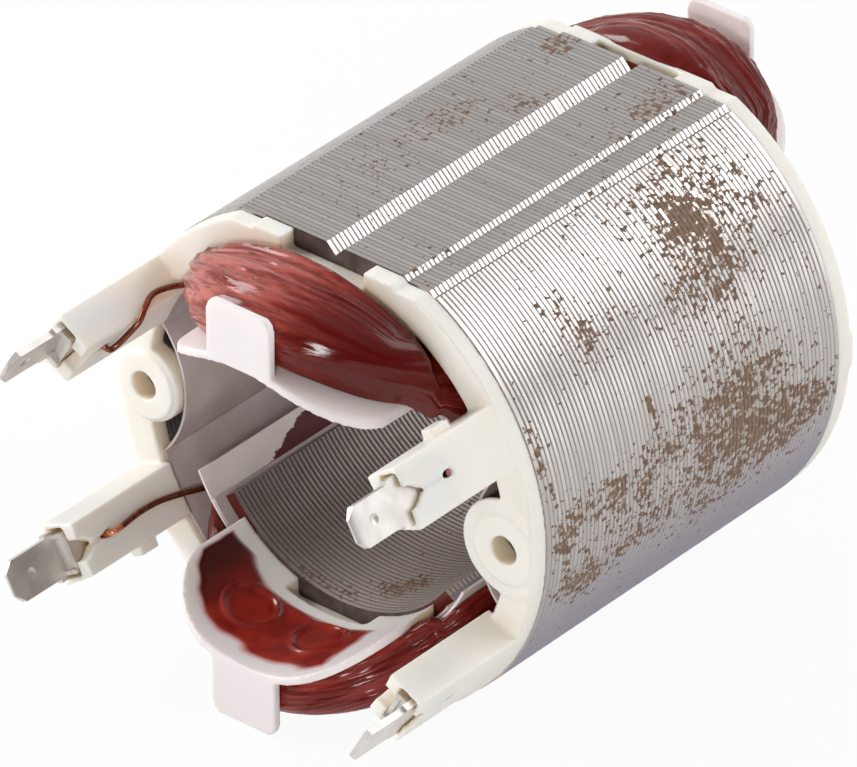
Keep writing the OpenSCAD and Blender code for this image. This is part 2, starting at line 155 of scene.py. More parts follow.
class Shader:
    """A material's node tree, with short calls for the nodes it needs."""

    def __init__(self, name):
        self.material = bpy.data.materials.new(name)
        self.material.use_nodes = True
        self.nodes = self.material.node_tree.nodes
        self.links = self.material.node_tree.links
        self.surface = self.nodes["Principled BSDF"]

    def put(self, socket, value):
        """Sets an input to a plain value, or links it to a node's output."""
        if isinstance(value, bpy.types.NodeSocket):
            self.links.new(value, socket)
        elif hasattr(socket.default_value, "__len__") and len(socket.default_value) == 4:
            socket.default_value = tuple(value)[:3] + (1.0,)
        else:
            socket.default_value = value

    def look(self, **values):
        """Sets or links the surface's own inputs."""
        for name, value in values.items():
            self.put(self.surface.inputs[name.replace("_", " ")], value)

    def math(self, operation, a, b=0.0, c=0.0):
        node = self.nodes.new("ShaderNodeMath")
        node.operation = operation
        for socket, value in zip(node.inputs, (a, b, c)):
            self.put(socket, value)
        return node.outputs[0]

    def ramp(self, value, low, high, to_low=0.0, to_high=1.0):
        """Smooth step of a value from one range to another."""
        node = self.nodes.new("ShaderNodeMapRange")
        node.interpolation_type = "SMOOTHSTEP"
        for name, given in (("Value", value), ("From Min", low), ("From Max", high),
                            ("To Min", to_low), ("To Max", to_high)):
            self.put(node.inputs[name], given)
        return node.outputs["Result"]

    def spread(self, noise, to_low=0.0, to_high=1.0):
        """A noise stretched over a range."""
        return self.ramp(noise, *NOISE_RANGE, to_low, to_high)

    def swing(self, noise, width):
        """A noise that swings about zero, over a width."""
        return self.math("MULTIPLY", self.math("SUBTRACT", noise, 0.5), width)

    def mix(self, share, a, b):
        """Colour between two others."""
        node = self.nodes.new("ShaderNodeMix")
        node.data_type = "RGBA"
        self.put(node.inputs["Factor"], share)
        self.put(node.inputs[MIX_A], a)
        self.put(node.inputs[MIX_B], b)
        return node.outputs[MIX_RESULT]

    def place(self):
        """The point's place in the part's frame, in millimetres."""
        coordinates = self.nodes.new("ShaderNodeTexCoord")
        scaled = self.nodes.new("ShaderNodeVectorMath")
        scaled.operation = "SCALE"
        self.links.new(coordinates.outputs["Object"], scaled.inputs[0])
        scaled.inputs["Scale"].default_value = 1 / MM
        return scaled.outputs[0]

    def split(self, vector):
        node = self.nodes.new("ShaderNodeSeparateXYZ")
        self.links.new(vector, node.inputs[0])
        return node.outputs[:3]

    def join(self, x, y, z=0.0):
        node = self.nodes.new("ShaderNodeCombineXYZ")
        for socket, value in zip(node.inputs, (x, y, z)):
            self.put(socket, value)
        return node.outputs[0]

    def from_axis(self, x, z):
        """Distance from the rotor axis."""
        squares = self.math("ADD", self.math("MULTIPLY", x, x), self.math("MULTIPLY", z, z))
        return self.math("SQRT", squares)

    def lower_left(self, x, z):
        """1 in the lower left quarter of the part, seen from the front, and 0 elsewhere."""
        return self.math("MULTIPLY", self.math("LESS_THAN", x, 0.0), self.math("LESS_THAN", z, 0.0))

    def noise(self, vector, scale, detail=2.0, roughness=0.5):
        node = self.nodes.new("ShaderNodeTexNoise")
        self.links.new(vector, node.inputs["Vector"])
        node.inputs["Scale"].default_value = scale
        node.inputs["Detail"].default_value = detail
        node.inputs["Roughness"].default_value = roughness
        return node.outputs["Fac"]

    def chance(self, vector):
        """A random number of 0 to 1 that is the same at the same place."""
        node = self.nodes.new("ShaderNodeTexWhiteNoise")
        node.noise_dimensions = "3D"
        self.links.new(vector, node.inputs["Vector"])
        return node.outputs["Value"]

    def attribute(self, name):
        """A number that add_number gave to the mesh."""
        node = self.nodes.new("ShaderNodeAttribute")
        node.attribute_name = name
        return node.outputs["Fac"]

    def hollow(self, distance):
        """How far the point lies in a corner or hollow, 0 to 1."""
        node = self.nodes.new("ShaderNodeAmbientOcclusion")
        node.samples = CORNER_SAMPLES
        node.inputs["Distance"].default_value = distance * MM
        return self.math("SUBTRACT", 1.0, node.outputs["AO"])

    def bump(self, height, distance, strength):
        node = self.nodes.new("ShaderNodeBump")
        node.inputs["Strength"].default_value = strength
        node.inputs["Distance"].default_value = distance * MM
        self.links.new(height, node.inputs["Height"])
        self.links.new(node.outputs["Normal"], self.surface.inputs["Normal"])


def srgb(r, g, b):
    """Linear colour from screen values of 0 to 255."""
    def linear(c):
        c = c / 255
        return c / 12.92 if c <= 0.04045 else ((c + 0.055) / 1.055) ** 2.4
    return (linear(r), linear(g), linear(b))


# Rust patches on the outside and in the bore: angle round the axis in degrees, distance from the
# front of the stack, half widths round and along, and the brown share of the sheet edges in the
# middle
RUST = [(47, 35, 7, 4, 0.5), (56, 39, 7, 6, 0.25), (35, 35, 7, 5, 0.3), (34, 28, 5, 6, 0.2),
        (45, 34, 18, 11, 0.14), (57, 25, 6, 5, 0.15), (44, 46, 9, 4, 0.2), (38, 14, 6, 4, 0.35),
        (48, 12, 6, 4, 0.15), (14, 35, 10, 8, 0.2), (0, 31, 10, 8, 0.52), (-8, 43, 8, 7, 0.55),
        (7, 21, 5, 5, 0.3), (8, 32, 8, 7, 0.15), (17, 18.8, 4, 0.5, 0.7), (22, 1, 8, 1, 0.45),
        (-14, 6.8, 5, 4, 0.6), (1, 3.3, 8, 2.5, 0.45), (4, 8.7, 5, 3.5, 0.4), (2, 14.2, 6, 4, 0.35),
        (-10, 18, 8, 5, 0.25), (-15, 29, 8, 7, 0.3), (-12, 13, 7, 5, 0.2), (106, 27, 4, 6, 0.4),
        (97, 34, 4, 5, 0.35), (107, 47, 4, 3, 0.5), (74, 45, 5, 4, 0.4), (71, 36, 4, 5, 0.25),
        (98, 11, 6, 6, 0.15), (107, 15, 5, 5, 0.15), (71, 5, 6, 5, 0.15), (-60, 20, 14, 12, 0.2),
        (160, 30, 20, 10, 0.35), (200, 14, 12, 8, 0.4), (230, 38, 12, 8, 0.3)]
BORE_RUST = [(-92, 1.6, 6, 1.6, 0.4), (-79, 5, 7, 2.2, 0.5), (-73, 8, 6, 2, 0.35),
             (-109, 0.8, 7, 1, 0.4), (-97, 30, 14, 9, 0.2), (-60, 22, 8, 9, 0.15),
             (80, 20, 20, 12, 0.15)]
MOST_RUST = 0.74
RUST_EVERYWHERE = 0.1
RUST_FALL = 0.8


def patches(points, places):
    """Share of brown sheet edge at points of the stack, from a list of patches."""
    angle = np.degrees(np.arctan2(points[:, 2], points[:, 0]))
    along = points[:, 1] - FRONT_Y
    share = np.full(len(points), RUST_EVERYWHERE)
    for at, far_in, half_round, half_along, most in places:
        a = (angle - at + 180) % 360 - 180
        d = (a / half_round) ** 2 + ((along - far_in) / half_along) ** 2
        share = share + most * np.exp(-RUST_FALL * d)
    return np.minimum(share, MOST_RUST)


def rust_share(points):
    """Share of brown sheet edge at points of the stack, outside or in the bore."""
    outside = np.hypot(points[:, 0], points[:, 2]) > YOKE_R
    return np.where(outside, patches(points, RUST), patches(points, BORE_RUST))


# Rust specks are noise: lumps that shift from sheet to sheet, and rows that keep to one sheet.
# Clouds make a patch denser or thinner, and a speck is brown where it is under the patch's share.
SHEET_DRAW = 0.5
SPECK_SHIFT = 1.6
SPECK_GRAIN = (2.0, 0.6)
LUMP_SCALE = 1.5
ROW_SCALE = 1.1
ROW_APART = 5.3
SPECK_RANGE = (0.28, 0.72)
CLOUD_LAYER = 9.0
CLOUD_SCALE = 0.4
CLOUD_RANGE = (0.36, 0.62)
CLOUD_DENSITY = (0.7, 1.15)
RUST_EDGE = (-0.04, 0.07)


def rust_pattern(s, around, along, sheet, by_sheet):
    """The patch's share of rust at a place, its noise, and the rust itself, 0 to 1."""
    shifted = s.math("MULTIPLY_ADD", by_sheet, SPECK_SHIFT, around)
    lumps = s.noise(s.join(shifted, along), LUMP_SCALE, *SPECK_GRAIN)
    own_row = s.join(around, s.math("MULTIPLY", sheet, ROW_APART))
    rows = s.noise(own_row, ROW_SCALE, *SPECK_GRAIN)
    speck = s.math("MULTIPLY", s.math("ADD", lumps, rows), 0.5)
    cloud = s.noise(s.join(around, along, CLOUD_LAYER), CLOUD_SCALE, 4.0, 0.6)
    density = s.ramp(cloud, *CLOUD_RANGE, *CLOUD_DENSITY)
    share = s.math("MULTIPLY", s.attribute("rust"), density)
    rust = s.ramp(s.math("SUBTRACT", share, s.ramp(speck, *SPECK_RANGE)), *RUST_EDGE)
    return share, speck, rust


# Where the stack gets painted lavender shade at its underside and painted light and shade in the
# bore, and how dull that makes it
UNDERSIDE_SHADE_Z = (-16.0, 0.0)
BRIGHT_BORE_X = (-11.0, 1.0)
BORE_MARGIN = 0.7
BORE_DULL = 0.5
UNDERSIDE_SHADE_DULL = 0.8
UNDERSIDE_SHADE_ROUGH = 0.6
DULL_METAL = 0.25
BARE_ROUGHNESS = 0.34
RUST_ROUGHNESS = 0.7
# Brown haze between the specks of a patch, and how much painted shade darkens rust in the grooves
HAZE_SHARE = (0.2, 0.9)
MOST_HAZE = 0.3
BROWN_RANGE = (0.2, 0.6)
GROOVE_DARK = 0.7


def steel():
    """Edges of the stacked sheets, with painted shade in the grooves and at the underside, painted
    light and shade in the bore, and rust in patches.
    """
    s = Shader("stacked_steel")
    x, y, z = s.split(s.place())
    around = s.math("MULTIPLY", s.math("ARCTAN2", z, x), CORE_R)
    along = s.math("SUBTRACT", y, FRONT_Y)
    sheet = s.math("FLOOR", s.math("DIVIDE", along, SHEET_T))
    by_sheet = s.chance(s.join(sheet, SHEET_DRAW))
    share, speck, rust = rust_pattern(s, around, along, sheet, by_sheet)
    in_bore = s.math("LESS_THAN", s.from_axis(x, z), BORE_R + BORE_MARGIN)
    outside = s.math("SUBTRACT", 1.0, in_bore)
    # Painted shade: the outside turns lavender-grey, duller and rougher towards its underside.
    underside_shade = s.math("MULTIPLY", outside, s.ramp(z, *UNDERSIDE_SHADE_Z, 1.0, 0.0))
    gap = s.attribute("gap")
    # Painted light and shade in the bore: dark at its left and bright at its right.
    bore_light_and_shade = s.mix(s.ramp(x, *BRIGHT_BORE_X), srgb(140, 130, 126), srgb(222, 211, 204))
    # Painted shade in the grooves between sheets, near black in the bore.
    groove_shade = s.mix(in_bore, srgb(150, 141, 137), srgb(44, 40, 39))
    bare = s.mix(by_sheet, srgb(191, 185, 181), srgb(205, 200, 197))
    bare = s.mix(underside_shade, bare, srgb(158, 152, 166))
    bare = s.mix(in_bore, bare, bore_light_and_shade)
    bare = s.mix(s.ramp(share, *HAZE_SHARE, 0.0, MOST_HAZE), bare, srgb(160, 136, 118))
    bare = s.mix(gap, bare, groove_shade)
    brown = s.mix(s.ramp(speck, *BROWN_RANGE), srgb(96, 75, 59), srgb(146, 119, 99))
    # Painted shade darkens the rust in the grooves.
    brown = s.mix(s.math("MULTIPLY", gap, GROOVE_DARK), brown, srgb(66, 50, 38))
    dull = s.math("MAXIMUM", s.math("MULTIPLY", in_bore, BORE_DULL),
                  s.math("MULTIPLY", underside_shade, UNDERSIDE_SHADE_DULL))
    dull = s.math("MAXIMUM", rust, dull)
    rough = s.math("MAXIMUM", rust, s.math("MULTIPLY", underside_shade, UNDERSIDE_SHADE_ROUGH))
    s.look(Base_Color=s.mix(rust, bare, brown),
           Metallic=s.ramp(dull, 0.0, 1.0, 1.0, DULL_METAL),
           Roughness=s.ramp(rough, 0.0, 1.0, BARE_ROUGHNESS, RUST_ROUGHNESS))
    return s.material


# Lacquer on the end sheets: its first angle from straight below, its outer edge, and how ragged
# its border is in radians. Then the ring of painted glint round the sheet's outer edge.
LACQUERED_DEG = (38.0, 41.0)
LACQUERED_R = (YOKE_R - 2.0, YOKE_R - 1.0)
LACQUER_RAGGED = 0.12
EDGE_GLINT_R = (CORE_R - 0.9, CORE_R - 0.6)


def sheet_face():
    """Face of the end sheets, dark with scale, with a painted glint round the outer edge, and
    lacquered from the lower pole's tips up.
    """
    s = Shader("sheet_face")
    where = s.place()
    x, _, z = s.split(where)
    cloud = s.noise(where, 0.5, 4.0, 0.6)
    grain = s.noise(where, 5.0, 3.0)
    radius = s.from_axis(x, z)
    from_below = s.math("ABSOLUTE", s.math("ARCTAN2", x, s.math("MULTIPLY", z, -1.0)))
    ragged = s.math("ADD", from_below, s.swing(cloud, LACQUER_RAGGED))
    first, full = (math.radians(a) for a in LACQUERED_DEG)
    lacquered = s.math("MULTIPLY", s.ramp(ragged, first, full),
                       s.ramp(radius, *LACQUERED_R, 1.0, 0.0))
    dark = s.mix(s.spread(cloud), srgb(82, 69, 63), srgb(112, 99, 93))
    # Painted glint: a pale steel-coloured ring at the outer edge of the end sheets.
    dark = s.mix(s.ramp(radius, *EDGE_GLINT_R), dark, srgb(196, 188, 182))
    s.look(Base_Color=s.mix(lacquered, dark, srgb(92, 22, 18)),
           Metallic=s.ramp(lacquered, 0.0, 1.0, 0.35, 0.0),
           Roughness=s.ramp(lacquered, 0.0, 1.0, 0.5, 0.15))
    s.bump(grain, 0.02, 0.4)
    return s.material


# Where the moulding is thin and pale: distance beyond the stack, and from the middle. Its
# corners get a painted yellow shade, as far as this reach.
THIN_FROM = (2.5, 5.0)
THIN_HALF_W = (COLLAR_HALF_W, COLLAR_HALF_W + 1.5)
CORNER_REACH = 6.0
CORNER_RANGE = (0.15, 0.85)
MOST_CORNER_SHADE = 0.75


def nylon():
    """Cream where it is thick, with a painted yellow shade in its corners, and paler and pinkish in
    the thin collars and tabs.
    """
    s = Shader("natural_nylon")
    where = s.place()
    x, y, _ = s.split(where)
    shade = s.noise(where, 0.15, 3.0)
    grain = s.noise(where, 6.0, 3.0, 0.6)
    # Painted shade: yellow where the point lies in a corner or hollow.
    corner = s.ramp(s.hollow(CORNER_REACH), *CORNER_RANGE, 0.0, MOST_CORNER_SHADE)
    thick = s.mix(s.ramp(shade, 0.35, 0.75), srgb(243, 239, 232), srgb(241, 235, 224))
    thick = s.mix(corner, thick, srgb(236, 214, 180))
    before = s.math("SUBTRACT", FRONT_Y, y)
    behind = s.math("SUBTRACT", y, FRONT_Y + CORE_LEN)
    thin = s.math("MULTIPLY", s.ramp(s.math("MAXIMUM", before, behind), *THIN_FROM),
                  s.ramp(s.math("ABSOLUTE", x), *THIN_HALF_W, 1.0, 0.0))
    s.look(Base_Color=s.mix(thin, thick, srgb(243, 233, 233)),
           Roughness=s.spread(grain, 0.34, 0.46))
    s.look(Subsurface_Weight=0.4, Subsurface_Radius=(1.0, 0.75, 0.5), Subsurface_Scale=2.0 * MM,
           IOR=1.5)
    s.bump(grain, 0.02, 0.3)
    return s.material


# The lacquer is thin and matt at the left of the windings and thick and glossy at the right.
# Its red carries a pale painted sheen on the streaks at the left and painted shade towards the right.
# Streaks and fine lines are noise that is drawn out along the wires.
MATT_LACQUER_X = (-14.0, 4.0)
SHEEN_LACQUER_X = (-9.0, 10.0)
SHADED_LACQUER_X = (2.0, 10.0)
MOST_RIGHT_SHADE = 0.45
STREAK_DRAWN = 0.12
STREAK_SCALE = 0.9
SHEEN_STREAK = (0.4, 0.6, 0.2, 0.75)
LINE_DRAWN = 0.22
LINE_SCALE = 2.4
LINE_LAYER = 4.0
DARK_LINE = (0.5, 0.7, 0.0, 0.5)


def lacquer():
    """Red lacquer over the wires, with a pale painted sheen on its streaks at the left, painted shade
    towards the right and round the rear, and dark lines between them.
    """
    s = Shader("lacquered_winding")
    along = s.attribute("along")
    across = s.attribute("across")
    x = s.split(s.place())[0]
    drawn = s.join(s.math("MULTIPLY", along, STREAK_DRAWN), across)
    streak = s.noise(drawn, STREAK_SCALE, 3.0)
    drawn = s.join(s.math("MULTIPLY", along, LINE_DRAWN), across, LINE_LAYER)
    line = s.noise(drawn, LINE_SCALE, 3.0)
    # Painted sheen: pale streaks at the left of the windings.
    painted_sheen = s.math("MULTIPLY", s.ramp(x, *SHEEN_LACQUER_X, 1.0, 0.0), s.ramp(streak, *SHEEN_STREAK))
    red = s.mix(s.ramp(streak, 0.35, 0.68), srgb(116, 23, 16), srgb(168, 56, 44))
    red = s.mix(painted_sheen, red, srgb(202, 124, 114))
    # Painted shade: the red darkens towards the right of the windings.
    red = s.mix(s.ramp(x, *SHADED_LACQUER_X, 0.0, MOST_RIGHT_SHADE), red, srgb(84, 10, 6))
    # Darker where lacquer fills the winding, and painted shade round the rear turns.
    red = s.mix(s.attribute("deep"), red, srgb(84, 8, 5))
    matt = s.ramp(x, *MATT_LACQUER_X, 0.2, 0.12)
    s.look(Base_Color=s.mix(s.ramp(line, *DARK_LINE), red, srgb(86, 9, 6)),
           Roughness=s.math("ADD", matt, s.spread(streak, 0.0, 0.08)))
    s.look(Coat_Weight=0.06, Coat_Roughness=0.05, IOR=1.35)
    s.bump(line, 0.06, 0.35)
    return s.material


# The pool's dark left corner, the thickness at which its red is full, and its uneven film
POOL_DARK_X = (-12.0, -6.5)
FULL_FILM = (0.05, 0.75)
FILM_UNEVEN = 0.3


def pooled_lacquer():
    """Deep red, thinning to a pink film at its edges and nearly black in the left corner."""
    s = Shader("pooled_lacquer")
    where = s.place()
    x = s.split(where)[0]
    cloud = s.noise(where, 0.35, 3.0)
    fine = s.noise(where, 2.5, 3.0)
    deep = s.mix(s.ramp(cloud, 0.35, 0.65), srgb(126, 25, 17), srgb(154, 40, 27))
    deep = s.mix(s.ramp(x, *POOL_DARK_X, 1.0, 0.0), deep, srgb(70, 14, 10))
    film = s.math("ADD", s.attribute("thick"), s.swing(cloud, FILM_UNEVEN))
    s.look(Base_Color=s.mix(s.ramp(film, *FULL_FILM), srgb(232, 200, 198), deep),
           Roughness=s.spread(fine, 0.12, 0.2))
    s.look(IOR=1.45)
    s.bump(fine, 0.01, 0.2)
    return s.material


# The liner's fibres lie along the slot
FIBRE_ACROSS = 3.0
FIBRE_ALONG = 0.5


def liner_sheet():
    """Grey insulating sheet of the slot liners."""
    s = Shader("liner_sheet")
    where = s.place()
    x, y, z = s.split(where)
    cloud = s.noise(where, 0.18, 3.0)
    drawn = s.join(s.math("MULTIPLY", x, FIBRE_ACROSS), s.math("MULTIPLY", y, FIBRE_ALONG),
                   s.math("MULTIPLY", z, FIBRE_ACROSS))
    fibre = s.noise(drawn, 1.6, 4.0)
    s.look(Base_Color=s.mix(s.spread(cloud), srgb(184, 170, 168), srgb(204, 191, 188)),
           Roughness=s.spread(fibre, 0.42, 0.58))
    s.bump(fibre, 0.03, 0.4)
    return s.material


# Ragged lacquer on the lower left cover: distance from the front of the stack at the angle 145
# degrees from the right, how much further back it starts for each degree towards the middle, how
# ragged its border is, and how soft
STAIN_FROM = 8.0
STAIN_SLOPE = 0.87
STAIN_DEG = 145.0
STAIN_RAGGED = 4.0
STAIN_SOFT = 0.15


def cover_sheet():
    """White sheet of the slot covers, with dark lacquer at the lower left."""
    s = Shader("cover_sheet")
    where = s.place()
    x, y, z = s.split(where)
    cloud = s.noise(where, 0.25, 3.0)
    fibre = s.noise(where, 3.0, 3.0)
    ragged = s.noise(where, 1.4, 4.0, 0.65)
    below = s.math("ARCTAN2", s.math("MULTIPLY", z, -1.0), x)
    below = s.math("MULTIPLY", below, math.degrees(1.0))
    start = s.math("MULTIPLY_ADD", s.math("SUBTRACT", below, STAIN_DEG), STAIN_SLOPE, STAIN_FROM)
    beyond = s.math("SUBTRACT", s.math("SUBTRACT", y, FRONT_Y), start)
    beyond = s.math("ADD", beyond, s.swing(ragged, STAIN_RAGGED))
    stain = s.math("MULTIPLY", s.ramp(beyond, -STAIN_SOFT, STAIN_SOFT), s.lower_left(x, z))
    sheet = s.mix(s.spread(cloud), srgb(230, 219, 215), srgb(240, 231, 227))
    s.look(Base_Color=s.mix(stain, sheet, srgb(88, 26, 22)),
           Roughness=s.spread(fibre, 0.4, 0.55))
    s.bump(fibre, 0.02, 0.3)
    return s.material


def tinned_brass():
    """Dull tin on the terminals."""
    s = Shader("tinned_tab")
    where = s.place()
    cloud = s.noise(where, 0.5, 3.0)
    scratch = s.noise(where, 4.0, 4.0, 0.7)
    s.look(Base_Color=s.mix(s.spread(cloud), srgb(214, 208, 203), srgb(228, 224, 220)),
           Metallic=1.0, Roughness=s.spread(scratch, 0.4, 0.54))
    s.bump(scratch, 0.01, 0.3)
    return s.material


# Bare length of the lower left lead, and half the length over which its enamel ends
BARE_WIRE = 1.3
BARE_SOFT = 0.3


def enamelled_copper():
    """Brown enamel; at the lower left the wire is bare where it enters its post."""
    s = Shader("enamelled_copper")
    where = s.place()
    x, y, z = s.split(where)
    cloud = s.noise(where, 0.8, 3.0)
    fine = s.noise(where, 5.0, 3.0)
    level = s.math("SUBTRACT", FRONT_Y, y)
    bare_from = WIRE_LEVEL - BARE_WIRE
    bare = s.math("MULTIPLY", s.ramp(level, bare_from - BARE_SOFT, bare_from + BARE_SOFT),
                  s.lower_left(x, z))
    enamel = s.mix(s.ramp(cloud, 0.35, 0.65), srgb(98, 44, 24), srgb(140, 70, 40))
    s.look(Base_Color=s.mix(bare, enamel, srgb(226, 142, 100)), Metallic=0.75,
           Roughness=s.spread(fine, 0.22, 0.34))
    s.look(Coat_Weight=0.5, Coat_Roughness=0.1)
    s.bump(fine, 0.01, 0.2)
    return s.material


# Mesh helpers

# Angles in degrees from which an edge of a piece is shaded as a crease
SHEET_CREASE = 30
ROUND_CREASE = 60
TAB_CREASE = 20
WELD_DIGITS = 4


def add_piece(name, points, faces, material, crease_deg=None, stands_for=()):
    """A mesh from points in millimetres, riding on the part."""
    mesh = bpy.data.meshes.new(name)
    mesh.from_pydata((np.asarray(points) * MM).tolist(), [], faces)
    mesh.update()
    mesh.materials.append(material)
    if crease_deg is not None:
        mesh.shade_smooth()
        mesh.set_sharp_from_angle(angle=math.radians(crease_deg))
    piece = add_object(name, mesh)
    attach(piece, "root")
    if stands_for:
        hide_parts(*stands_for)
    return piece


def add_number(piece, name, values):
    """A number at each point of a piece, for its material to read."""
    layer = piece.data.attributes.new(name, "FLOAT", "POINT")
    layer.data.foreach_set("value", np.asarray(values, np.float32))


def turn_outward(piece):
    """Turns the faces of a closed piece to its outside."""
    work = bmesh.new()
    work.from_mesh(piece.data)
    bmesh.ops.recalc_face_normals(work, faces=work.faces)
    work.to_mesh(piece.data)
    work.free()


def welded(node):
    """Points in millimetres and faces of a CAD node, with its split corners joined."""
    mesh = nodes[node].data
    flat = np.empty(len(mesh.vertices) * 3)
    mesh.vertices.foreach_get("co", flat)
    rounded = np.round(flat.reshape(-1, 3) / MM, WELD_DIGITS)
    points, index = np.unique(rounded, axis=0, return_inverse=True)
    index = index.ravel()
    faces = [[int(index[v]) for v in polygon.vertices] for polygon in mesh.polygons]
    return points, [f for f in faces if len(set(f)) == len(f)]


def copied(name, node, material, crease_deg=None):
    """A copy of a CAD node that stands for it."""
    points, faces = welded(node)
    piece = add_piece(name, points, faces, material, crease_deg, [node])
    turn_outward(piece)
    return piece


def dress(node, material):
    """Gives a CAD node its material."""
    mesh = nodes[node].data
    mesh.materials.clear()
    mesh.materials.append(material)


def tube_faces(rings, sides):
    """Quads of a grid of rings that closes both ways."""
    faces = []
    for i in range(rings):
        k = (i + 1) % rings
        for j in range(sides):
            m = (j + 1) % sides
            faces.append((i * sides + j, i * sides + m, k * sides + m, k * sides + j))
    return faces


def smooth(x):
    """Smooth step from 0 to 1."""
    x = np.clip(x, 0.0, 1.0)
    return x * x * (3 - 2 * x)


def waves(a, b, seed, count=7):
    """Smooth seeded noise of two coordinates, about -1 to 1."""
    chance = np.random.default_rng(seed)
    total = np.zeros(np.broadcast(a, b).shape)
    for _ in range(count):
        pace_a = chance.normal(0, 1)
        pace_b = chance.normal(0, 1)
        phase = chance.uniform(0, 2 * np.pi)
        total = total + np.sin(a * pace_a + b * pace_b + phase)
    return total / math.sqrt(count)


# Lamination stack: every sheet has its own edge, with a groove to its neighbours

GROOVE_DEPTH = 0.045
GROOVE_HALF_W = 0.13
SHEET_SHIFT = 0.006
SHEET_SEED = 11
EDGE_STEP = 2.0
BORE_STEP = 8.0
FLAT_WITHIN = 1e-3
SHARPEST_MITRE = 0.5


def end_loops(points, faces, y):
    """The flat end's faces, and the loops of points round it."""
    cap = [f for f in faces if all(abs(points[v][1] - y) < FLAT_WITHIN for v in f)]
    half_edges = {(f[i], f[(i + 1) % len(f)]) for f in cap for i in range(len(f))}
    following = {a: b for a, b in half_edges if (b, a) not in half_edges}
    loops = []
    while following:
        start, after = following.popitem()
        loop = [start]
        while after != start:
            loop.append(after)
            after = following.pop(after)
        loops.append(loop)
    return cap, loops


def outward(ring):
    """Directions out of the sheet at each point of a loop, in its plane, longer at the corners."""
    before = ring - np.roll(ring, 1, axis=0)
    after = np.roll(ring, -1, axis=0) - ring
    normals = []
    for edge in (before, after):
        edge = edge / np.linalg.norm(edge, axis=1, keepdims=True)
        normals.append(np.cross(edge, (0.0, -1.0, 0.0)))
    mid = normals[0] + normals[1]
    return mid / np.maximum(np.sum(mid * mid, axis=1, keepdims=True) / 2, SHARPEST_MITRE)


def with_steps(ring, longest):
    """The ring with points added on its long edges."""
    made = []
    for a, b in zip(ring, np.roll(ring, -1, axis=0)):
        pieces = max(1, math.ceil(np.linalg.norm(b - a) / longest))
        made += [a + (b - a) * i / pieces for i in range(pieces)]
    return np.array(made)


def sheet_levels():
    """Distance from the front, inset and sideways shift of each ring of points along the stack."""
    chance = np.random.default_rng(SHEET_SEED)
    still = (0.0, 0.0)
    levels = []
    for i in range(SHEETS):
        shift = chance.normal(0.0, SHEET_SHIFT, 2)
        if i == 0:
            levels.append((0.0, 0.0, still))
        else:
            levels.append((i * SHEET_T, GROOVE_DEPTH, shift))
        levels.append((i * SHEET_T + GROOVE_HALF_W, 0.0, shift))
        levels.append(((i + 1) * SHEET_T - GROOVE_HALF_W, 0.0, shift))
    levels.append((CORE_LEN, 0.0, still))
    return levels


def lamination_stack(edge_look, face_look):
    """Rings of points at every sheet's edges, round each outline, and the CAD's own end faces."""
    points, faces = welded("lamination_stack")
    cap, loops = end_loops(points, faces, FRONT_Y)
    levels = sheet_levels()
    made = []
    gaps = []
    quads = []
    count = 0
    for loop in loops:
        outside = np.hypot(*points[loop][0][[0, 2]]) > YOKE_R
        ring = with_steps(points[loop], EDGE_STEP if outside else BORE_STEP)
        out = outward(ring)
        n = len(ring)
        for y, inset, shift in levels:
            level = ring - out * inset + (shift[0], 0.0, shift[1])
            level[:, 1] = FRONT_Y + y
            made.append(level)
            gaps.append(np.full(n, 1.0 if inset else 0.0))
        for k in range(len(levels) - 1):
            a = count + k * n
            for j in range(n):
                m = (j + 1) % n
                quads.append((a + m, a + j, a + n + j, a + n + m))
        count += n * len(levels)
    edges = len(quads)
    for y, turned in ((FRONT_Y, False), (FRONT_Y + CORE_LEN, True)):
        end = points.copy()
        end[:, 1] = y
        made.append(end)
        gaps.append(np.zeros(len(end)))
        quads += [[count + v for v in (reversed(f) if turned else f)] for f in cap]
        count += len(end)
    made = np.concatenate(made)
    piece = add_piece("stacked_sheets", made, quads, edge_look, SHEET_CREASE,
                      ["lamination_stack"])
    piece.data.materials.append(face_look)
    looks = np.zeros(len(quads), np.int32)
    looks[edges:] = 1
    piece.data.polygons.foreach_set("material_index", looks)
    add_number(piece, "gap", np.concatenate(gaps))
    add_number(piece, "rust", rust_share(made))


# Coils: a closed tube round the pole, of a boxy section, with the relief of its wires

SECTION_STEPS = 300
TURN_STEPS = 150
TURN_START = 1e-4
MEAN_TURN_R = 20.0
# Squareness of the section's corners and of the turn's inner side
TOP_INNER_SQUARE = 12.0
TOP_OUTER_SQUARE = 1.9
BOTTOM_SQUARE = 9.0
INNER_TURN_SQUARE = 16
# Lengths over which the coil narrows to its foot and rises, beyond the flange and its clearance
FOOT_RUN = 6.0
RISE_RUN = 0.7
FLANGE_GAP = 6 * FIT
LEAST_V2 = 1.0


def box_point(a, b, n, t):
    """Points of a rounded box with half sides a and b, at angles t; a larger n is squarer."""
    k = (np.abs(np.cos(t)) ** n + np.abs(np.sin(t)) ** n) ** (-1.0 / n)
    return a * np.cos(t) * k, b * np.sin(t) * k


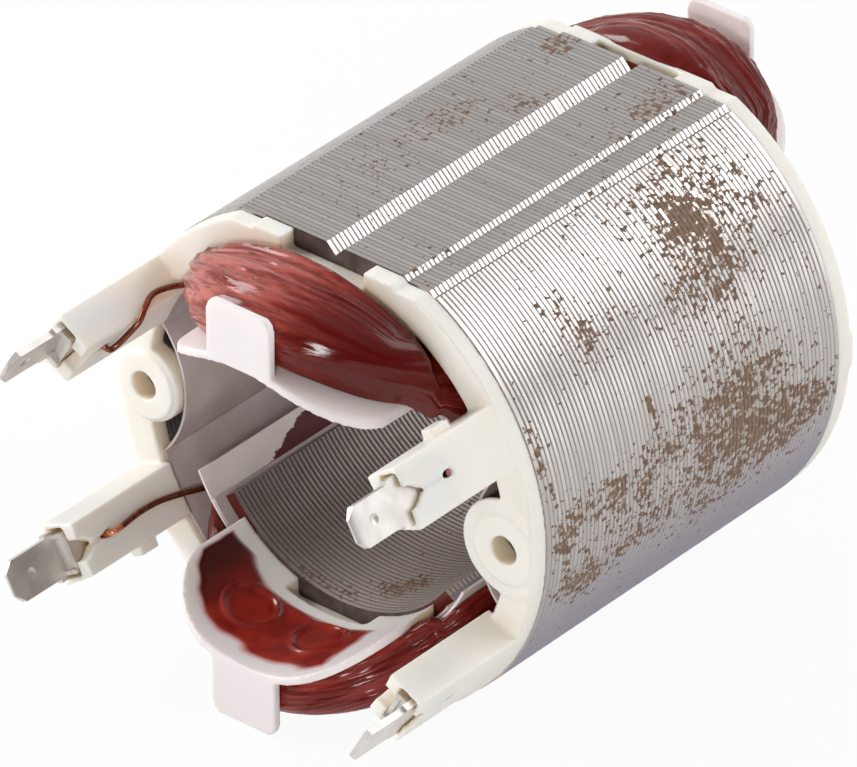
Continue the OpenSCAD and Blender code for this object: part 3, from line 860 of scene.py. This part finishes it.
def coil_surface(t, s, rise, left_square):
    """Points of a coil round the upper pole at angle t round the pole and s round its section."""
    tip_r = BORE_R + TIP_T
    coil_ri = tip_r + LINER_C + FIT + COVER_T + 3 * FIT
    coil_ro = YOKE_R - LINER_C - 3 * FIT
    in_w = NECK_SHARE * BORE_R + LINER_C + 5 * FIT
    side_w = COIL_SHARE * coil_ri - in_w
    collar_top = COLLAR_R + COLLAR_T
    top_square = np.where(np.cos(s) < 0, TOP_INNER_SQUARE, TOP_OUTER_SQUARE)
    px, py = box_point(1.0, 1.0, np.where(np.sin(s) > 0, top_square, BOTTOM_SQUARE), s)
    q = (py + 1) / 2
    front = np.sin(t) >= 0
    base = np.where(front, -TURN_DEPTH, TURN_DEPTH - CORE_LEN)
    reach = COLLAR_LEN - COLLAR_T - np.where(front, FRONT_TURN_GAP, REAR_TURN_GAP) + TURN_DEPTH
    ix, iz = box_point(in_w, FLANGE_T + FLANGE_GAP + TURN_DEPTH, INNER_TURN_SQUARE, t)
    square = np.where(front & (np.cos(t) < 0), left_square, TURN_SQUARE)
    ox, oz = box_point(1.0, reach, square, t)
    beyond = np.maximum(base + oz, -CORE_LEN - base - oz)
    foot = COIL_FOOT_W + (side_w - COIL_FOOT_W) * q
    out_w = in_w + side_w + (foot - side_w) * smooth(beyond / FOOT_RUN)
    u = ix + (out_w * ox - ix) * (px + 1) / 2
    w = base + iz + (oz - iz) * (px + 1) / 2
    over = np.maximum(w, -CORE_LEN - w) - FLANGE_T
    ri = coil_ri - smooth(over) * (coil_ri - collar_top - 2 * FIT)
    ro = coil_ro + smooth((over - FLANGE_GAP) / RISE_RUN) * rise
    r = ri + (ro - ri) * q
    v = np.sqrt(np.maximum(LEAST_V2, r * r - u * u))
    return np.stack([u, FRONT_Y - w, v], axis=-1)


# Relief of the wires. Waves have a height, and a pace along and across the coil.
WIRE_PITCH = 0.85
WIRE_H = 0.32
SLOW_DRIFT = (1.6, 1.3, 0.14)
QUICK_DRIFT = (0.35, 3.6, 0.4)
SECOND_ROWS = 0.9
# Lacquer between the wires, as a share of their height: its mean, waves, and more where it fills
LACQUER_MEAN = 0.4
LACQUER_WAVES = (0.45, 1.1, 0.35)
LACQUER_FILL = 0.9
LACQUER_LIMITS = (0.05, 1.0)
FILL_HALF = 0.55
# Folds of the bundle, which the filling lacquer flattens
FOLD_H = 0.5
FOLD_WAVES = (1.0, 0.8, 1.9)
FOLD_LIMIT = 1.5
FOLD_FLATTENED = 0.85
# A hollow under the rear turns, next to the flange: angle round the pole, half width and depth,
# and how far its edge fades round the section
HOLLOW_AT = 1.5 * np.pi
HOLLOW_HALF = 0.55
HOLLOW_DEPTH = 1.5
HOLLOW_INSIDE = 0.1
HOLLOW_FADE = 0.4
# How dark the lacquer is where it fills the winding, and the painted shade all round the rear
FILLED_DARK = 0.85
REAR_SHADE = 0.55


def coil_waves(kind, t, girth, seed):
    height, pace_along, pace_across = kind
    return height * waves(pace_along * t, pace_across * girth, seed)


def wire_rows(t, girth, seed):
    """Rows of wires that wander along the coil: 0 between two wires and 1 on top of one."""
    drift = coil_waves(SLOW_DRIFT, t, girth, seed) + coil_waves(QUICK_DRIFT, t, girth, seed + 1)
    row = (girth / WIRE_PITCH + drift) % 1.0
    return np.sqrt(1 - (2 * row - 1) ** 2)


def filled(t, filled_at):
    """Share of lacquer that hides the wires."""
    return np.exp(-((t - filled_at) / FILL_HALF) ** 2)


def winding_relief(t, s, girth, seed, filled_at):
    """Height of the wires and of the lacquer between them, which hides them round filled_at."""
    full = filled(t, filled_at)
    wires = np.maximum(wire_rows(t, girth, seed), SECOND_ROWS * wire_rows(t, girth, seed + 10))
    level = LACQUER_MEAN + coil_waves(LACQUER_WAVES, t, girth, seed + 2) + LACQUER_FILL * full
    level = np.clip(level, *LACQUER_LIMITS)
    fold = np.clip(coil_waves(FOLD_WAVES, t, girth, seed + 3), -FOLD_LIMIT, FOLD_LIMIT)
    fold = fold / (2 * FOLD_LIMIT) - 0.5
    hollow = np.exp(-((t - HOLLOW_AT) / HOLLOW_HALF) ** 4)
    hollow = hollow * smooth((-HOLLOW_INSIDE - np.cos(s)) / HOLLOW_FADE)
    hollow = hollow * smooth(np.sin(s) / HOLLOW_FADE)
    height = WIRE_H * (np.maximum(wires, level) - 1)
    height = height + FOLD_H * fold * (1 - FOLD_FLATTENED * full)
    return height - HOLLOW_DEPTH * hollow


def coil(name, material, low, seed, filled_at, rise, left_square):
    """A winding that stands for a coil; the low one is made for the upper pole and mirrored."""
    turn = np.linspace(TURN_START, np.pi - TURN_START, TURN_STEPS)
    t = np.concatenate([turn, np.pi + turn])[:, None]
    s = -np.linspace(0, 2 * np.pi, SECTION_STEPS, endpoint=False)[None, :]
    base = coil_surface(t, s, rise, left_square)
    across = np.roll(base, -1, axis=1) - np.roll(base, 1, axis=1)
    along = np.roll(base, -1, axis=0) - np.roll(base, 1, axis=0)
    normal = np.cross(across, along)
    normal /= np.maximum(np.linalg.norm(normal, axis=2, keepdims=True), 1e-9)
    middle = base[TURN_STEPS // 2]
    girth = np.cumsum(np.linalg.norm(middle - np.roll(middle, 1, axis=0), axis=1))[None, :]
    height = winding_relief(t, s, girth, seed, filled_at)
    points = (base + normal * height[:, :, None]).reshape(-1, 3)
    faces = tube_faces(2 * TURN_STEPS, SECTION_STEPS)
    if low:
        points = points * (1.0, 1.0, -1.0)
        faces = [f[::-1] for f in faces]
    piece = add_piece(name + "_winding", points, faces, material, ROUND_CREASE, [name])
    # The rear turns get painted shade; the filled lacquer is darker too.
    deep = np.maximum(FILLED_DARK * filled(t, filled_at), REAR_SHADE * (np.sin(t) < 0))
    grid = height.shape
    add_number(piece, "along", np.broadcast_to(MEAN_TURN_R * t, grid).ravel())
    add_number(piece, "across", np.broadcast_to(girth, grid).ravel())
    add_number(piece, "deep", np.broadcast_to(deep, grid).ravel())


# Moulded insulators: the CAD shapes with soft edges and fillets

MOULD_VOXEL = 0.2
MOULD_SOFT = 0.5
MOULD_ROUNDS = 7
MOULD_KEEP = 0.4


def moulded_copy(name, node, material):
    """A copy of an insulator with its edges softened."""
    piece = copied(name, node, material)
    even = piece.modifiers.new("even", "REMESH")
    even.mode = "VOXEL"
    even.voxel_size = MOULD_VOXEL * MM
    even.use_smooth_shade = True
    soften = piece.modifiers.new("soften", "SMOOTH")
    soften.factor = MOULD_SOFT
    soften.iterations = MOULD_ROUNDS
    lighten = piece.modifiers.new("lighten", "DECIMATE")
    lighten.ratio = MOULD_KEEP


# Lacquer that has pooled in the lower collar, with two round mould marks showing through it

POOL_GRID = (170, 110)
POOL_SEED = 21
POOL_DEG = (-135.0, -61.0)
POOL_T = 0.24
POOL_SINK = 0.15
POOL_ROOT = 0.35
# The pool starts at this distance from the stack, and closer to it in the left corner
POOL_BACK = 3.2
POOL_CORNER_X = -6.0
POOL_CORNER_RUN = 5.0
POOL_CORNER_BACK = 1.6
# Its distance from the collar's rim, and how its edge fades: width, bare strip, and how steep it is
# at the left end and at the rim
POOL_MARGIN = 1.4
POOL_FADE = 1.5
POOL_BARE = 0.3
LEFT_STEEP = 2.0
RIM_STEEP = 0.8
RAGGED_H = 0.2
RAGGED_PACE = 0.9
# Round marks: their angle and distance from the stack, radius, rim and dip
MARKS = [(-108.4, 7.9), (-79.3, 7.4)]
MARK_R = 3.1
MARK_RIM = 0.3
MARK_RIM_W = 0.35
MARK_DIP = 0.14
MARK_EDGE = 0.4


def rim_height(u):
    """Distance of the collar's rounded rim from the stack."""
    beyond = np.maximum(np.abs(u) - (COLLAR_HALF_W - COLLAR_ROUND), 0.0)
    return COLLAR_LEN - COLLAR_ROUND + np.sqrt(np.maximum(COLLAR_ROUND ** 2 - beyond ** 2, 0.0))


def slab_faces(rows, columns):
    """Faces of a grid of points, of the same grid under it, and of the border between them."""
    under = rows * columns
    faces = []
    for i in range(rows - 1):
        for j in range(columns - 1):
            a = i * columns + j
            quad = (a, a + 1, a + columns + 1, a + columns)
            faces.append(quad)
            faces.append(tuple(under + v for v in reversed(quad)))
    border = [(i, 0) for i in range(rows)]
    border += [(rows - 1, j) for j in range(1, columns)]
    border += [(i, columns - 1) for i in range(rows - 2, -1, -1)]
    border += [(0, j) for j in range(columns - 2, 0, -1)]
    ring = [i * columns + j for i, j in border]
    for a, b in zip(ring, ring[1:] + ring[:1]):
        faces.append((a, b, under + b, under + a))
    return faces


def lacquer_pool(material):
    """A film on the inside of the collar, fading at its edges, with a base inside the collar."""
    rows, columns = POOL_GRID
    angle = np.radians(np.linspace(*POOL_DEG, rows))[:, None]
    share = np.linspace(0.0, 1.0, columns)[None, :]
    u = COLLAR_R * np.cos(angle)
    last = rim_height(u) - POOL_MARGIN
    first = POOL_BACK - POOL_CORNER_BACK * smooth((POOL_CORNER_X - u) / POOL_CORNER_RUN)
    w = first + (last - first) * share
    ends = np.minimum(LEFT_STEEP * (angle - angle[0]), angle[-1] - angle) * COLLAR_R
    edge = np.minimum(np.minimum(w - first, RIM_STEEP * (last - w)), ends)
    ragged = RAGGED_H * waves(RAGGED_PACE * COLLAR_R * angle, RAGGED_PACE * w, POOL_SEED)
    rise = smooth((edge + ragged - POOL_BARE) / POOL_FADE) * (edge > 0)
    height = POOL_T * ((1 + POOL_SINK) * rise - POOL_SINK)
    for mark_deg, mark_w in MARKS:
        away = np.hypot(COLLAR_R * (angle - math.radians(mark_deg)), w - mark_w)
        rim = MARK_RIM * np.exp(-((away - MARK_R) / MARK_RIM_W) ** 2)
        dip = MARK_DIP * smooth((MARK_R - away) / MARK_EDGE)
        height = height + rise * (rim - dip)
    top = COLLAR_R - height
    points = []
    for radius in (top, np.full_like(top, COLLAR_R + POOL_ROOT)):
        layer = [radius * np.cos(angle), FRONT_Y - w, radius * np.sin(angle)]
        points.append(np.stack(layer, axis=-1).reshape(-1, 3))
    piece = add_piece("lacquer_pool", np.concatenate(points), slab_faces(rows, columns), material,
                      ROUND_CREASE)
    add_number(piece, "thick", np.concatenate([rise.ravel(), rise.ravel()]))
    turn_outward(piece)


# Stage and light: how bright the floor looks to the camera and in reflections, the world from its
# dark to its bright side, and lamps with their place and size in metres and power in watts

FLOOR_HALF = 3.0
FLOOR_COLOUR = (0.9, 0.9, 0.9)
FLOOR_ROUGHNESS = 0.9
FLOOR_GLOW = 0.94
FLOOR_GLOSS = 0.45
WORLD_DARK = 0.12
WORLD_BRIGHT = 0.7
WORLD_TURN = 0.8
BRIGHT_SIDE = (-0.55, 0.83, 0.0)
LAMPS = [("left", (-0.92, -0.4, 0.56), (0.5, 0.5), 9.0),
         ("back", (0.44, 0.68, 0.66), (0.7, 0.6), 4.0),
         ("low", (0.86, 0.72, 0.14), (0.7, 0.3), 1.1),
         ("key", (0.5, -0.9, 0.4), (0.22, 0.22), 4.0)]
LAMPS_TOWARDS = (0.0, 0.025, 0.0)


def make_stage():
    """A pale floor that looks white to the camera and still takes the part's shadow."""
    half = FLOOR_HALF
    floor_z = cad_box[0][2]
    mesh = bpy.data.meshes.new("floor")
    mesh.from_pydata([(-half, -half, floor_z), (half, -half, floor_z), (half, half, floor_z),
                      (-half, half, floor_z)], [], [(0, 1, 2, 3)])
    floor = add_object("floor", mesh)
    s = Shader("floor")
    s.look(Base_Color=FLOOR_COLOUR, Roughness=FLOOR_ROUGHNESS)
    path = s.nodes.new("ShaderNodeLightPath")
    seen = s.math("MAXIMUM", path.outputs["Is Glossy Ray"], path.outputs["Is Transmission Ray"])
    seen = s.math("MULTIPLY", seen, FLOOR_GLOSS)
    seen = s.math("MAXIMUM", seen, s.math("MULTIPLY", path.outputs["Is Camera Ray"], FLOOR_GLOW))
    white = s.nodes.new("ShaderNodeEmission")
    mix = s.nodes.new("ShaderNodeMixShader")
    s.links.new(seen, mix.inputs[0])
    s.links.new(s.surface.outputs[0], mix.inputs[1])
    s.links.new(white.outputs[0], mix.inputs[2])
    s.links.new(mix.outputs[0], s.nodes["Material Output"].inputs["Surface"])
    mesh.materials.append(s.material)


def make_world():
    """White light that is brighter from one side."""
    world = bpy.data.worlds.new("studio")
    bpy.context.scene.world = world
    world.use_nodes = True
    tree = world.node_tree
    sky = tree.nodes["Background"]
    sky.inputs["Color"].default_value = (1.0, 1.0, 1.0, 1.0)
    direction = tree.nodes.new("ShaderNodeTexCoord")
    towards = tree.nodes.new("ShaderNodeVectorMath")
    towards.operation = "DOT_PRODUCT"
    towards.inputs[1].default_value = BRIGHT_SIDE
    spread = tree.nodes.new("ShaderNodeMapRange")
    spread.interpolation_type = "SMOOTHSTEP"
    spread.inputs["From Min"].default_value = -WORLD_TURN
    spread.inputs["From Max"].default_value = WORLD_TURN
    spread.inputs["To Min"].default_value = WORLD_DARK
    spread.inputs["To Max"].default_value = WORLD_BRIGHT
    tree.links.new(direction.outputs["Generated"], towards.inputs[0])
    tree.links.new(towards.outputs["Value"], spread.inputs["Value"])
    tree.links.new(spread.outputs["Result"], sky.inputs["Strength"])


def area_lamp(name, at, size, power):
    data = bpy.data.lights.new(name, "AREA")
    data.shape = "RECTANGLE"
    data.size = size[0]
    data.size_y = size[1]
    data.energy = power
    lamp = add_object(name, data)
    lamp.location = at
    lamp.rotation_mode = "QUATERNION"
    lamp.rotation_quaternion = (Vector(LAMPS_TOWARDS) - Vector(at)).to_track_quat("-Z", "Y")


make_camera()
make_stage()
make_world()
for lamp_settings in LAMPS:
    area_lamp(*lamp_settings)

nylon_look = nylon()
lacquer_look = lacquer()
liner_look = liner_sheet()
cover_look = cover_sheet()
tin_look = tinned_brass()
copper_look = enamelled_copper()

lamination_stack(steel(), sheet_face())
coil("upper_coil", lacquer_look, low=False, seed=3, filled_at=0.75, rise=1.8, left_square=TURN_SQUARE)
coil("lower_coil", lacquer_look, low=True, seed=8, filled_at=2.6, rise=1.2, left_square=1.75)
moulded_copy("front_moulding", "front_insulator", nylon_look)
moulded_copy("rear_moulding", "rear_insulator", nylon_look)
lacquer_pool(pooled_lacquer())
for side in ("left", "right"):
    dress(side + "_slot_liner", liner_look)
for upright, side in CORNERS:
    corner = f"{upright}_{side}"
    dress(corner + "_slot_cover", cover_look)
    copied(corner + "_wire", corner + "_lead", copper_look, ROUND_CREASE)
    copied(corner + "_tab", corner + "_terminal", tin_look, TAB_CREASE)

bpy.context.scene.view_settings.view_transform = "Standard"
